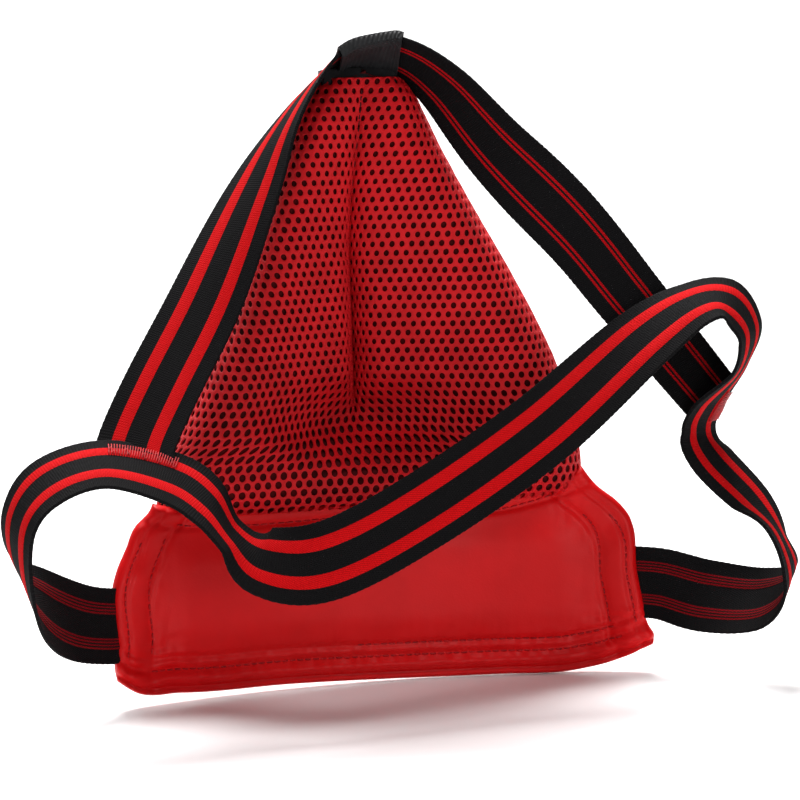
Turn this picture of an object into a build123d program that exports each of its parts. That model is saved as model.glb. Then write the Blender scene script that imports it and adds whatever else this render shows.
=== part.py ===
"""Groin guard for martial arts: padded cup, waist panel, elastic waistband and leg strap.

Frame: millimetres, +Z up, X across the waist panel, -Y towards the wearer's body.
The guard stands on its waist edge with the cup's apex up. The origin is on that edge's resting
face, in the middle of the panel's body side.
"""
import os
from math import asin, cos, degrees, sin

from build123d import *

os.makedirs("parts", exist_ok=True)

# Waist panel
PANEL_RADIUS = 400.0  # plan radius of the panel's body side, which bends forward at both ends
PANEL_TOP = 92.0
SKIN = 1.2
PANEL_FOAM = 6.0
ROLL_HEIGHT = 10.0  # rolled lower edge, as deep as the whole panel and its fold
ROLL_DEPTH = 13.0
ROLL_CORNER = 1.5
ROLL_FRONT = 2.5  # how far the roll stands proud of the body side
ROLL_HALF_ANGLE = 16.0  # degrees of plan arc each side of the middle
HEM_WIDTH = 13.0
THREAD = 0.6

# Cup
CUP_CENTRE = -6.0  # the cup leans a little to the left of the panel's middle
CUP_MID = 165.0  # height about which the cup's sections shrink
CUP_HALF_WIDTH = 110.0
CUP_CORNER = 103.0
CUP_BOTTOM = 96.0
CUP_SIDE = (90.0, 183.0)  # a point on the swelling side, from the centre line
CUP_SHOULDER = (32.0, 288.0)
CUP_APEX = 308.0
CUP_BACK = 2.0  # the cup's rim plane
CUP_FRONT = -24.0
DOME_LEVELS = [(2.0, 1.0), (18.0, 0.94), (31.0, 0.80), (39.0, 0.52)]  # y, section scale
COVER_WALL = 1.5
OUTER_FOAM = 4.0
SHELL_WALL = 3.0
LINING = 3.0
LINING_FOAM = 3.0
BOWL_FLOOR = 22.0
BOWL_MOUTH_SCALE = 0.66
BOWL_FLOOR_SCALE = 0.42
VENT_RADIUS = 4.0

# Webbing
WEB_WIDTH = 38.0
WEB_THICK = 1.6

# Each station is (centre, direction of the width towards the upper edge)
WAISTBAND = [
    ((-131, -23.4, 44), (0, 0, 1)),
    ((-145, -28.6, 44), (0, 0, 1)),
    ((-163, -45, 50), (0.2, 0.2, 1)),
    ((-180, -74, 64), (0.1, 0.6, 0.8)),
    ((-192, -90, 82), (-0.2, 0.9, 0.4)),
    ((-193, -98, 108), (-0.3, 0.9, 0.2)),
    ((-179, -98, 126), (-0.3, 0.9, 0.4)),
    ((-152, -96, 133), (0, 0.9, 0.5)),
    ((-121, -99, 125), (0.3, 0.8, 0.5)),
    ((-105, -104, 113), (0.4, 0.8, 0.4)),
    ((-94, -104, 96), (0.3, 0.9, 0.3)),
    ((-79, -108, 84), (0.2, 0.7, 0.7)),
    ((-49, -108, 83), (0, 0.2, 1)),
    ((0, -96, 102), (-0.3, 0.1, 0.9)),
    ((64, -80, 137), (-0.4, 0.4, 0.8)),
    ((125, -62, 180), (-0.3, 0.7, 0.6)),
    ((155, -60, 196), (0.1, 0.9, 0.5)),
    ((172, -60, 194), (0.5, 0.7, 0.4)),
    ((182, -58, 179), (0.6, 0.8, 0.1)),
    ((178, -52, 160), (0.5, 0.9, 0)),
    ((164, -43, 141), (0.7, 0.7, 0)),
    ((160, -39, 127), (0.7, 0.7, 0)),
    ((165, -46, 113), (0.8, 0.6, 0.1)),
    ((181, -57, 93), (0.8, 0.6, 0)),
    ((191, -70, 75), (0.6, 0.8, -0.3)),
    ((196, -72, 54), (0.5, 0.9, 0.2)),
    ((184, -60, 42), (0.2, 0.7, 0.7)),
    ((161, -42, 42), (0.1, 0.3, 0.9)),
    ((145, -28.6, 47), (0, 0, 1)),
    ((131, -23.4, 48), (0, 0, 1)),
]
LEG_STRAP = [
    ((165, -42, 148), (0.7, 0.4, 0.6)),
    ((126, -34, 198), (0.7, 0.2, 0.7)),
    ((99, -27, 234), (0.8, 0, 0.6)),
    ((60, -22, 276), (0.6, -0.6, 0.5)),
    ((33, -20, 308), (0.3, -0.8, 0.4)),
    ((11, -13, 324), (-0.1, -0.9, 0.5)),
    ((-13, -11, 324), (-0.1, -1, 0.3)),
    ((-30, -12, 313), (0, -1, 0.1)),
    ((-50, -18, 288), (0.3, -1, 0.1)),
    ((-69, -30, 255), (0.6, -0.8, -0.1)),
    ((-96, -50, 205), (0.8, -0.5, -0.4)),
    ((-120, -68, 167), (0.8, -0.4, -0.4)),
    ((-134, -80, 143), (0.9, -0.4, -0.3)),
]
WAISTBAND_MIDDLE = 14  # the station where the band's two lengths meet
KEEPER_STATIONS = [((14, -14, 323), (-0.1, -0.9, 0.5)), LEG_STRAP[5], LEG_STRAP[6],
                   ((-21, -12, 320), (-0.1, -1, 0.2))]
KEEPER_INNER = (WEB_WIDTH + 4.0, WEB_THICK + 5.0)
KEEPER_OUTER = (WEB_WIDTH + 6.4, WEB_THICK + 7.6)
BARTACK_ACROSS = 11.0  # from the waistband's centre line to the patches
BARTACK_WIDTH = 8.0
BARTACK_THICK = 0.8


def strap_planes(stations):
    """Section planes across a strap: local X runs along the width, the normal along the strap."""
    centres = [Vector(*centre) for centre, _ in stations]
    planes = []
    for i, (_, width) in enumerate(stations):
        ahead = centres[min(i + 1, len(centres) - 1)]
        behind = centres[max(i - 1, 0)]
        along = (ahead - behind).normalized()
        across = Vector(*width)
        across = (across - along * across.dot(along)).normalized()
        planes.append(Plane(origin=centres[i], x_dir=across, z_dir=along))
    return planes


def strap_loft(planes, width, thick, mode=Mode.ADD):
    """A flat strap through the section planes, added to the part being built."""
    sections = []
    for plane in planes:
        with BuildSketch(plane) as section:
            Rectangle(width, thick)
        sections.append(section.sketch)
    loft(sections=sections, ruled=True, mode=mode)


def strap_pad(plane, along, across, gap):
    """Plane just above the strap's outer face, moved along and across from a section plane."""
    origin = plane.origin + plane.z_dir * along + plane.x_dir * across
    outward = plane.z_dir.cross(plane.x_dir)
    return Plane(origin=origin + outward * (WEB_THICK / 2 + gap),
                 x_dir=plane.z_dir, z_dir=outward)


def cup_section(y, scale):
    """Teardrop outline of the cup in the upright plane at depth y, shrunk about its middle."""
    def at(x, z):
        return (CUP_CENTRE + x * scale, CUP_MID + (z - CUP_MID) * scale)

    side_x, side_z = CUP_SIDE
    shoulder_x, shoulder_z = CUP_SHOULDER

    with BuildSketch(Plane.XZ.offset(-y)) as section:
        with BuildLine():
            ThreePointArc(at(-CUP_HALF_WIDTH, CUP_CORNER), at(0, CUP_BOTTOM),
                          at(CUP_HALF_WIDTH, CUP_CORNER))
            ThreePointArc(at(CUP_HALF_WIDTH, CUP_CORNER), at(side_x, side_z),
                          at(shoulder_x, shoulder_z))
            ThreePointArc(at(shoulder_x, shoulder_z), at(0, CUP_APEX), at(-shoulder_x, shoulder_z))
            ThreePointArc(at(-shoulder_x, shoulder_z), at(-side_x, side_z),
                          at(-CUP_HALF_WIDTH, CUP_CORNER))
        make_face()
    return section.sketch


def dome(inset, mode=Mode.ADD):
    """The cup's outer dome, each wall layer sitting inset inside the one before."""
    sections = []
    for y, scale in DOME_LEVELS:
        depth = y if y == CUP_BACK else y - inset
        sections.append(cup_section(depth, scale - inset / CUP_HALF_WIDTH))
    loft(sections=sections, mode=mode)


def bowl(inset, mode=Mode.SUBTRACT):
    """The hollow on the body side, from the rim's front face to the bowl's floor."""
    grow = inset / CUP_HALF_WIDTH
    mouth = cup_section(CUP_FRONT, BOWL_MOUTH_SCALE + grow)
    floor = cup_section(BOWL_FLOOR + inset, BOWL_FLOOR_SCALE + grow)
    loft(sections=[mouth, floor], mode=mode)


def panel_layer(depth, thick):
    """Curved panel layer: the panel's front outline cut from a ring in plan."""
    with BuildSketch(Plane.XY) as ring:
        with Locations((0, -PANEL_RADIUS)):
            Circle(PANEL_RADIUS + depth + thick)
            Circle(PANEL_RADIUS + depth, mode=Mode.SUBTRACT)
    extrude(ring.sketch, amount=PANEL_TOP + 20)
    with BuildSketch(Plane.XZ.offset(-50)) as outline:
        with BuildLine():
            Polyline((-108, ROLL_HEIGHT), (108, ROLL_HEIGHT), (134, 17), (137, 22),
                     (132, 50), (129, 82), (122, 93), (109, 106), (109, PANEL_TOP),
                     (-118, PANEL_TOP), (-118, 102), (-122, 104), (-129, 93), (-139, 69),
                     (-141, 46), (-139, 17), (-134, ROLL_HEIGHT), close=True)
        make_face()
    extrude(outline.sketch, amount=120, mode=Mode.INTERSECT)


def arc_strip(height, tall, half_angle, lift):
    """Thin raised strip along the panel's body side at one height."""
    centre = (0, -PANEL_RADIUS)
    with BuildSketch(Plane.XY.offset(height)) as strip:
        with BuildLine():
            inner = CenterArc(centre, PANEL_RADIUS - lift, 90 - half_angle, 2 * half_angle)
            outer = CenterArc(centre, PANEL_RADIUS, 90 - half_angle, 2 * half_angle)
            Line(inner @ 0, outer @ 0)
            Line(inner @ 1, outer @ 1)
        make_face()
    extrude(strip.sketch, amount=tall)


def save(part, name):
    """Labels a finished piece and writes it."""
    part.label = name
    export_step(part, f"parts/{name}.step")


# ---- waist panel: skins, foam and folded edges ----
with BuildPart() as panel_inner_skin:
    panel_layer(0, SKIN)
save(panel_inner_skin.part, "panel_inner_skin")

with BuildPart() as panel_foam:
    panel_layer(SKIN, PANEL_FOAM)
save(panel_foam.part, "panel_foam")

with BuildPart() as panel_outer_skin:
    panel_layer(SKIN + PANEL_FOAM, SKIN)
save(panel_outer_skin.part, "panel_outer_skin")

# Rolled lower edge: a flattened tube along the plan arc, flat underneath where it rests.
with BuildPart() as waist_edge_roll:
    roll_centre = PANEL_RADIUS - ROLL_FRONT + ROLL_DEPTH / 2
    with BuildSketch(Plane(origin=(0, -PANEL_RADIUS, 0), x_dir=(1, 0, 0), z_dir=(0, -1, 0))):
        with Locations((roll_centre, ROLL_HEIGHT / 2)):
            RectangleRounded(ROLL_DEPTH, ROLL_HEIGHT, ROLL_CORNER)
    revolve(axis=Axis((0, -PANEL_RADIUS, 0), (0, 0, 1)), revolution_arc=2 * ROLL_HALF_ANGLE)
roll_turn = Rotation(0, 0, 90 - ROLL_HALF_ANGLE)
to_axis = Pos(0, -PANEL_RADIUS, 0)
rolled = to_axis * roll_turn * to_axis.inverse() * waist_edge_roll.part
save(rolled, "waist_edge_roll")

# Folded strips that hold the waistband's ends against the panel's body side.
HEM_FACE = PANEL_RADIUS - WEB_THICK - 0.8
for side, name in ((-1, "side_hem_left"), (1, "side_hem_right")):
    with BuildPart() as side_hem:
        start = degrees(asin(125.0 / PANEL_RADIUS))
        span = degrees(HEM_WIDTH / PANEL_RADIUS)
        first = 90 - side * start
        sweep_angle = -side * span
        with BuildSketch(Plane.XY.offset(22)):
            with BuildLine():
                inner = CenterArc((0, -PANEL_RADIUS), HEM_FACE - SKIN, first, sweep_angle)
                outer = CenterArc((0, -PANEL_RADIUS), HEM_FACE, first, sweep_angle)
                Line(inner @ 0, outer @ 0)
                Line(inner @ 1, outer @ 1)
            make_face()
        extrude(amount=48)
    save(side_hem.part, name)

# Thread rows stand 0.6 mm proud of the panel's body side.
with BuildPart() as panel_top_stitch:
    arc_strip(PANEL_TOP - 5, 1.0, 14.0, THREAD)
save(panel_top_stitch.part, "panel_top_stitch")

with BuildPart() as waist_edge_stitch:
    for height in (14.0, 20.0):
        arc_strip(height, 1.0, 15.0, THREAD)
save(waist_edge_stitch.part, "waist_edge_stitch")

for side, name in ((-1, "side_stitch_left"), (1, "side_stitch_right")):
    with BuildPart() as side_stitch:
        for offset in (121.0, 123.5):
            turn = asin(offset / PANEL_RADIUS)
            radius = PANEL_RADIUS - THREAD / 2 - 0.02
            foot = (radius * sin(turn) * side, radius * cos(turn) - PANEL_RADIUS, 50.0)
            with Locations(Location(foot, (0, 0, -degrees(turn) * side))):
                Box(1.0, THREAD, 56.0)
    save(side_stitch.part, name)

# ---- webbing ----
band_planes = strap_planes(WAISTBAND)
for planes, name in ((band_planes[:WAISTBAND_MIDDLE + 1], "waistband_left"),
                     (band_planes[WAISTBAND_MIDDLE:], "waistband_right")):
    with BuildPart() as waistband:
        strap_loft(planes, WEB_WIDTH, WEB_THICK)
    save(waistband.part, name)

with BuildPart() as leg_strap:
    strap_loft(strap_planes(LEG_STRAP), WEB_WIDTH, WEB_THICK)
save(leg_strap.part, "leg_strap")

# Dense stitch patches where the leg strap meets the waistband's upper edge.
for index, along, length, gap, name in ((7, 14.0, 30.0, 0.3, "bartack_left"),
                                        (20, 0.0, 14.0, 1.3, "bartack_right")):
    with BuildPart() as bartack:
        with BuildSketch(strap_pad(band_planes[index], along, BARTACK_ACROSS, gap)):
            Rectangle(length, BARTACK_WIDTH)
        extrude(amount=BARTACK_THICK)
    save(bartack.part, name)

# ---- cup: nested layers of the dome ----
with BuildPart() as outer_cover:
    dome(0)
    dome(COVER_WALL, mode=Mode.SUBTRACT)
for keep, name in ((Keep.BOTTOM, "outer_cover_left"), (Keep.TOP, "outer_cover_right")):
    with BuildPart() as cover_half:
        add(outer_cover.part)
        split(bisect_by=Plane.YZ.offset(CUP_CENTRE), keep=keep)
    save(cover_half.part, name)

# Raised centre seam, a rib that follows the dome from its base to its apex.
with BuildPart() as outer_cover_seam:
    dome(-1.2)
    dome(0, mode=Mode.SUBTRACT)
    with BuildSketch(Plane.XZ.offset(-60)):
        with Locations((CUP_CENTRE, 200)):
            Rectangle(2.0, 260)
    extrude(amount=57, mode=Mode.INTERSECT)
save(outer_cover_seam.part, "outer_cover_seam")

with BuildPart() as outer_foam:
    dome(COVER_WALL)
    dome(COVER_WALL + OUTER_FOAM, mode=Mode.SUBTRACT)
save(outer_foam.part, "outer_foam")

with BuildPart() as cup_shell:
    dome(COVER_WALL + OUTER_FOAM)
    dome(COVER_WALL + OUTER_FOAM + SHELL_WALL, mode=Mode.SUBTRACT)
    with BuildSketch(Plane.XZ.offset(-60)):
        with Locations((CUP_CENTRE, 170)):
            with PolarLocations(22, 6):
                Circle(VENT_RADIUS)
    extrude(amount=40, mode=Mode.SUBTRACT)
save(cup_shell.part, "cup_shell")

# ---- cup: body side; the lining's two halves meet along the centre dart ----
with BuildPart() as mesh_lining:
    extrude(cup_section(CUP_BACK, 1.0), amount=CUP_BACK - CUP_FRONT)
    extrude(cup_section(CUP_BACK, 1.0 - LINING / CUP_HALF_WIDTH),
            amount=CUP_BACK - CUP_FRONT - LINING, mode=Mode.SUBTRACT)
    bowl(LINING, mode=Mode.ADD)
    bowl(0)
for keep, name in ((Keep.BOTTOM, "mesh_lining_left"), (Keep.TOP, "mesh_lining_right")):
    with BuildPart() as lining_half:
        add(mesh_lining.part)
        split(bisect_by=Plane.YZ.offset(CUP_CENTRE), keep=keep)
    save(lining_half.part, name)

with BuildPart() as rim_padding:
    extrude(cup_section(CUP_BACK, 1.0 - LINING / CUP_HALF_WIDTH),
            amount=CUP_BACK - CUP_FRONT - LINING)
    bowl(LINING)
save(rim_padding.part, "rim_padding")

with BuildPart() as lining_foam:
    loft(sections=[cup_section(CUP_BACK, 0.7), cup_section(BOWL_FLOOR + LINING + LINING_FOAM, 0.50)])
    bowl(LINING)
save(lining_foam.part, "lining_foam")

# Thread of the lining's centre dart, along the bowl's floor.
with BuildPart() as dart_stitch:
    with Locations((CUP_CENTRE, BOWL_FLOOR - THREAD / 2, 178)):
        Box(1.2, THREAD, 70)
save(dart_stitch.part, "dart_stitch")

# ---- apex: keeper tape round the leg strap, and the tab that sews it to the cup ----
with BuildPart() as apex_keeper:
    strap_loft(strap_planes(KEEPER_STATIONS), *KEEPER_OUTER)
    strap_loft(strap_planes(KEEPER_STATIONS), *KEEPER_INNER, mode=Mode.SUBTRACT)
save(apex_keeper.part, "apex_keeper")

with BuildPart() as keeper_solid:
    strap_loft(strap_planes(KEEPER_STATIONS), *KEEPER_OUTER)

with BuildPart() as apex_tab:
    with Locations((-4, -8, 313)):
        Box(26, 12, 14)
    add(keeper_solid.part, mode=Mode.SUBTRACT)
    extrude(cup_section(CUP_BACK, 1.0), amount=CUP_BACK - CUP_FRONT, mode=Mode.SUBTRACT)
save(apex_tab.part, "apex_tab")

with BuildPart() as keeper_stitch:
    with Locations((-3, -14 - THREAD / 2, 314)):
        Box(22, THREAD, 1.2)
save(keeper_stitch.part, "keeper_stitch")
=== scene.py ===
"""Looks of the groin guard: air-mesh cup lining, glossy waist panel, striped elastic webbing."""
import math
import random

import bmesh
import bpy
import numpy as np
from mathutils import Matrix, Vector, noise


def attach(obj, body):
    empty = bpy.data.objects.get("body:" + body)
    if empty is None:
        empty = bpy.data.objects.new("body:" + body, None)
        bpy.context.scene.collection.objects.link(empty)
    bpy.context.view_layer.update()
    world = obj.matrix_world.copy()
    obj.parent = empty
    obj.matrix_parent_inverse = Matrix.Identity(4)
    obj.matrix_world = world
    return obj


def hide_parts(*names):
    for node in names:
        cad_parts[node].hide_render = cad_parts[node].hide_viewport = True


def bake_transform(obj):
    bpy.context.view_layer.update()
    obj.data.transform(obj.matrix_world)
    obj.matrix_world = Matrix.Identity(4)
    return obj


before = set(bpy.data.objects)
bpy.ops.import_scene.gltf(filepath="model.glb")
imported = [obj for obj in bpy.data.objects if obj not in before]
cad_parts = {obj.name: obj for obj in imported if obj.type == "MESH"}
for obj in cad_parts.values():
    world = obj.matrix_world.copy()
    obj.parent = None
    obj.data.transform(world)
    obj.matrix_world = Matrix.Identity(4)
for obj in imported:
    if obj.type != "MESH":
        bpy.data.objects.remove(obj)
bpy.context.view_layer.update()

MM = 0.001
rng = random.Random(7)

# Sizes repeated from the CAD source, in metres
PANEL_RADIUS = 0.400
WEB_WIDTH = 0.038
WEB_THICK = 0.0015
WEB_BELLY = 0.0006  # how far a strap's middle stands proud of its edges

# Each station is (centre in mm, direction of the width towards the upper edge)
WAISTBAND = [
    ((-132, -20.5, 44), (0, 0, 1)),
    ((-145, -27.6, 44), (0, 0, 1)),
    ((-163, -45, 50), (0.2, 0.2, 1)),
    ((-180, -74, 64), (0.1, 0.6, 0.8)),
    ((-192, -90, 82), (-0.2, 0.9, 0.4)),
    ((-193, -98, 108), (-0.3, 0.9, 0.2)),
    ((-179, -98, 126), (-0.3, 0.9, 0.4)),
    ((-152, -96, 133), (0, 0.9, 0.5)),
    ((-121, -99, 125), (0.3, 0.8, 0.5)),
    ((-105, -104, 113), (0.4, 0.8, 0.4)),
    ((-94, -104, 96), (0.3, 0.9, 0.3)),
    ((-79, -108, 84), (0.17, 0.58, 0.8)),
    ((-49, -108, 83), (0, 0.2, 1)),
    ((0, -96, 102), (-0.3, 0.1, 0.9)),
    ((64, -80, 137), (-0.4, 0.4, 0.8)),
    ((125, -62, 180), (-0.3, 0.7, 0.6)),
    ((155, -60, 196), (0.1, 0.9, 0.5)),
    ((172, -60, 194), (0.5, 0.7, 0.4)),
    ((182, -58, 179), (0.6, 0.8, 0.1)),
    ((178, -52, 160), (0.5, 0.9, 0)),
    ((164, -43, 141), (0.7, 0.7, 0)),
    ((160, -39, 127), (0.7, 0.7, 0)),
    ((165, -46, 113), (0.8, 0.6, 0.1)),
    ((181, -57, 93), (0.8, 0.6, 0)),
    ((191, -70, 75), (0.6, 0.8, -0.3)),
    ((196, -72, 54), (0.5, 0.9, 0.2)),
    ((184, -60, 42), (0.2, 0.7, 0.7)),
    ((161, -42, 42), (0.1, 0.3, 0.9)),
    ((142, -27.0, 47), (0, 0, 1)),
    ((126, -17.5, 48), (0, 0, 1)),
]
LEG_STRAP = [
    ((166.5, -39.5, 146), (0.7, 0.4, 0.6)),
    ((126, -34, 198), (0.7, 0.2, 0.7)),
    ((99, -27, 234), (0.8, 0, 0.6)),
    ((60, -22, 276), (0.6, -0.6, 0.5)),
    ((33, -20, 308), (0.3, -0.8, 0.4)),
    ((11, -13, 324), (-0.1, -0.9, 0.5)),
    ((-13, -11, 324), (-0.1, -1, 0.3)),
    ((-30, -12, 313), (0, -1, 0.1)),
    ((-50, -18, 288), (0.3, -1, 0.1)),
    ((-69, -30, 255), (0.6, -0.8, -0.1)),
    ((-96, -50, 205), (0.8, -0.5, -0.4)),
    ((-120, -68, 167), (0.8, -0.4, -0.4)),
    ((-134, -80, 143), (0.9, -0.4, -0.3)),
    ((-138, -88, 131), (0.9, -0.3, -0.2)),
]
KEEPER = [
    ((13, -13.9, 323.2), (-0.1, -0.9, 0.5)),
    ((8, -12.7, 324.4), (-0.1, -0.9, 0.48)),
    ((-10, -11.2, 324.6), (-0.1, -1, 0.32)),
    ((-19, -11.2, 321.3), (-0.1, -1, 0.25)),
]


# ------------------------------------------------------------------ numbers and curves
def curve(points, t):
    """Smooth value at t through (t, value) points, with tangents from the neighbours."""
    ts = np.array([p[0] for p in points], float)
    vs = np.array([p[1] for p in points], float)
    slopes = np.gradient(vs, ts)
    t = np.clip(t, ts[0], ts[-1])
    i = np.clip(np.searchsorted(ts, t, side="right") - 1, 0, len(ts) - 2)
    step = ts[i + 1] - ts[i]
    f = (t - ts[i]) / step
    h00 = 2 * f ** 3 - 3 * f ** 2 + 1
    h10 = f ** 3 - 2 * f ** 2 + f
    h01 = -2 * f ** 3 + 3 * f ** 2
    h11 = f ** 3 - f ** 2
    return h00 * vs[i] + h10 * step * slopes[i] + h01 * vs[i + 1] + h11 * step * slopes[i + 1]


def smoothstep(low, high, t):
    """0 below low, 1 above high and a smooth ramp between them."""
    f = np.clip((t - low) / (high - low), 0, 1)
    return f * f * (3 - 2 * f)


def catmull(points, spacing):
    """Evenly spaced samples of a Catmull-Rom curve through the points, any dimension."""
    p = np.array(points, float)
    p = np.vstack([2 * p[0] - p[1], p, 2 * p[-1] - p[-2]])
    fine = []
    for i in range(1, len(p) - 2):
        a, b, c, d = p[i - 1:i + 3]
        for f in np.linspace(0, 1, 24, endpoint=False):
            fine.append(0.5 * (2 * b + (c - a) * f + (2 * a - 5 * b + 4 * c - d) * f * f
                               + (3 * b - a - 3 * c + d) * f ** 3))
    fine.append(p[-2])
    fine = np.array(fine)
    lengths = np.concatenate([[0], np.cumsum(np.linalg.norm(np.diff(fine[:, :3], axis=0), axis=1))])
    count = max(int(lengths[-1] / spacing), 2)
    even = np.linspace(0, lengths[-1], count + 1)
    return even, np.stack([np.interp(even, lengths, fine[:, k]) for k in range(p.shape[1])], 1)


def unit(v):
    """The vectors scaled to length 1."""
    return v / np.linalg.norm(v, axis=-1, keepdims=True)


# ------------------------------------------------------------------ meshes
def new_mesh(name, vertices, faces, material):
    """A smooth-shaded object with its own mesh, linked to the scene."""
    mesh = bpy.data.meshes.new(name)
    mesh.from_pydata([tuple(v) for v in vertices], [], faces)
    mesh.validate()
    mesh.update()
    obj = bpy.data.objects.new(name, mesh)
    bpy.context.scene.collection.objects.link(obj)
    mesh.materials.append(material)
    mesh.polygons.foreach_set("use_smooth", [True] * len(mesh.polygons))
    return obj


def recalculate(obj):
    """Makes the face normals point outwards."""
    mesh = bmesh.new()
    mesh.from_mesh(obj.data)
    bmesh.ops.remove_doubles(mesh, verts=mesh.verts, dist=1e-7)
    bmesh.ops.recalc_face_normals(mesh, faces=mesh.faces)
    mesh.to_mesh(obj.data)
    mesh.free()


def bake_modifiers(obj):
    """Turns the modifiers' result into the object's own mesh."""
    graph = bpy.context.evaluated_depsgraph_get()
    made = bpy.data.meshes.new_from_object(obj.evaluated_get(graph))
    obj.modifiers.clear()
    obj.data = made


def subdivide(obj):
    """Rounds the mesh with one level of subdivision."""
    modifier = obj.modifiers.new("smooth", "SUBSURF")
    modifier.levels = 1
    modifier.render_levels = 1
    bake_modifiers(obj)


def thicken(obj, thickness, offset=-1.0):
    """Gives a sheet its thickness: inwards with offset -1, to both sides with 0."""
    modifier = obj.modifiers.new("thick", "SOLIDIFY")
    modifier.thickness = thickness
    modifier.offset = offset
    bake_modifiers(obj)


def grid_faces(rows, columns, offset=0, flip=False, wrap=False):
    """Quads of a rows by columns grid of vertices, numbered row by row."""
    faces = []
    for r in range(rows - 1):
        for c in range(columns if wrap else columns - 1):
            d = (c + 1) % columns
            quad = (offset + r * columns + c, offset + r * columns + d,
                    offset + (r + 1) * columns + d, offset + (r + 1) * columns + c)
            faces.append(quad[::-1] if flip else quad)
    return faces


def border_walls(rows, columns):
    """Quads joining the borders of two rows by columns grids, numbered one after the other."""
    border = list(range(columns))
    border += [r * columns + columns - 1 for r in range(1, rows)]
    border += [(rows - 1) * columns + c for c in range(columns - 2, -1, -1)]
    border += [r * columns for r in range(rows - 2, 0, -1)]
    total = rows * columns
    return [(b, a, a + total, b + total) for a, b in zip(border, border[1:] + border[:1])]


def tube(points, radius, sides):
    """Vertices and faces of a closed tube along the points."""
    points = np.array(points, float)
    along = unit(np.gradient(points, axis=0))
    up = np.array([0.0, 0.0, 1.0])
    vertices, faces = [], []
    for p, t in zip(points, along):
        side = np.cross(t, up)
        if np.linalg.norm(side) < 1e-3:
            side = np.cross(t, (1.0, 0.0, 0.0))
        side = unit(side)
        rise = np.cross(side, t)
        for k in range(sides):
            a = 2 * math.pi * k / sides
            vertices.append(p + radius * (math.cos(a) * side + math.sin(a) * rise))
    faces = grid_faces(len(points), sides, wrap=True)
    last = (len(points) - 1) * sides
    faces.append(tuple(range(sides)))
    faces.append(tuple(range(last + sides - 1, last - 1, -1)))
    return vertices, faces


def join_parts(parts):
    """One vertex and face list from several."""
    vertices, faces = [], []
    for more_vertices, more_faces in parts:
        base = len(vertices)
        vertices.extend(more_vertices)
        faces.extend(tuple(i + base for i in face) for face in more_faces)
    return vertices, faces


# ------------------------------------------------------------------ materials
def new_material(name, color, roughness, **sockets):
    """A principled material; a further socket is named with underscores for its spaces."""
    material = bpy.data.materials.new(name)
    material.use_nodes = True
    shader = material.node_tree.nodes["Principled BSDF"]
    shader.inputs["Base Color"].default_value = (*color, 1)
    shader.inputs["Roughness"].default_value = roughness
    for key, value in sockets.items():
        shader.inputs[key.replace("_", " ")].default_value = value
    return material


def add_node(material, kind, **values):
    """A shader node with the given sockets or settings."""
    node = material.node_tree.nodes.new(kind)
    for key, value in values.items():
        if key in node.inputs:
            node.inputs[key].default_value = value
        else:
            setattr(node, key, value)
    return node


def link(material, source, target):
    """Joins an output socket to an input socket."""
    material.node_tree.links.new(source, target)


def color_noise(material, dark, light, scale, low=0.35, high=0.65):
    """Base colour varied between two colours by object-space noise."""
    coords = add_node(material, "ShaderNodeTexCoord")
    cloud = add_node(material, "ShaderNodeTexNoise", Scale=scale, Detail=4.0)
    ramp = add_node(material, "ShaderNodeValToRGB")
    ramp.color_ramp.elements[0].position = low
    ramp.color_ramp.elements[1].position = high
    ramp.color_ramp.elements[0].color = (*dark, 1)
    ramp.color_ramp.elements[1].color = (*light, 1)
    link(material, coords.outputs["Object"], cloud.inputs["Vector"])
    link(material, cloud.outputs["Fac"], ramp.inputs["Fac"])
    shader = material.node_tree.nodes["Principled BSDF"]
    link(material, ramp.outputs["Color"], shader.inputs["Base Color"])
    return coords


def add_bump(material, height, distance, strength):
    """Relief from a height socket; distance is its depth in metres."""
    bump = add_node(material, "ShaderNodeBump", Strength=strength, Distance=distance)
    link(material, height, bump.inputs["Height"])
    link(material, bump.outputs["Normal"], material.node_tree.nodes["Principled BSDF"].inputs["Normal"])


def added(material, first, second):
    """Sum of two output sockets."""
    total = add_node(material, "ShaderNodeMath", operation="ADD")
    link(material, first, total.inputs[0])
    link(material, second, total.inputs[1])
    return total.outputs[0]


def vinyl_material():
    """Glossy red vinyl: fine pebble grain under a thin clear coat."""
    material = new_material("red_vinyl", (0.62, 0.002, 0.004), 0.48, Coat_Weight=0.05,
                            Coat_Roughness=0.25, IOR=1.45, Specular_IOR_Level=0.16)
    coords = color_noise(material, (0.52, 0.0012, 0.002), (0.62, 0.0022, 0.004), 22.0)
    grain = add_node(material, "ShaderNodeTexVoronoi", Scale=1100.0)
    soft = add_node(material, "ShaderNodeTexNoise", Scale=160.0, Detail=3.0)
    link(material, coords.outputs["Object"], grain.inputs["Vector"])
    link(material, coords.outputs["Object"], soft.inputs["Vector"])
    add_bump(material, added(material, grain.outputs["Distance"], soft.outputs["Fac"]), 0.00012, 0.35)
    return material


def mesh_material(name, dark, light, roughness, scale):
    """Knitted polyester: fine wale lines and slight colour variation."""
    material = new_material(name, light, roughness, Specular_IOR_Level=0.25)
    coords = color_noise(material, dark, light, 60.0, 0.3, 0.7)
    wales = add_node(material, "ShaderNodeTexWave", Scale=scale, Distortion=1.5, bands_direction="X")
    yarn = add_node(material, "ShaderNodeTexNoise", Scale=scale * 1.5, Detail=2.0)
    link(material, coords.outputs["Object"], wales.inputs["Vector"])
    link(material, coords.outputs["Object"], yarn.inputs["Vector"])
    add_bump(material, added(material, wales.outputs["Fac"], yarn.outputs["Fac"]), 0.00025, 0.6)
    return material


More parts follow.
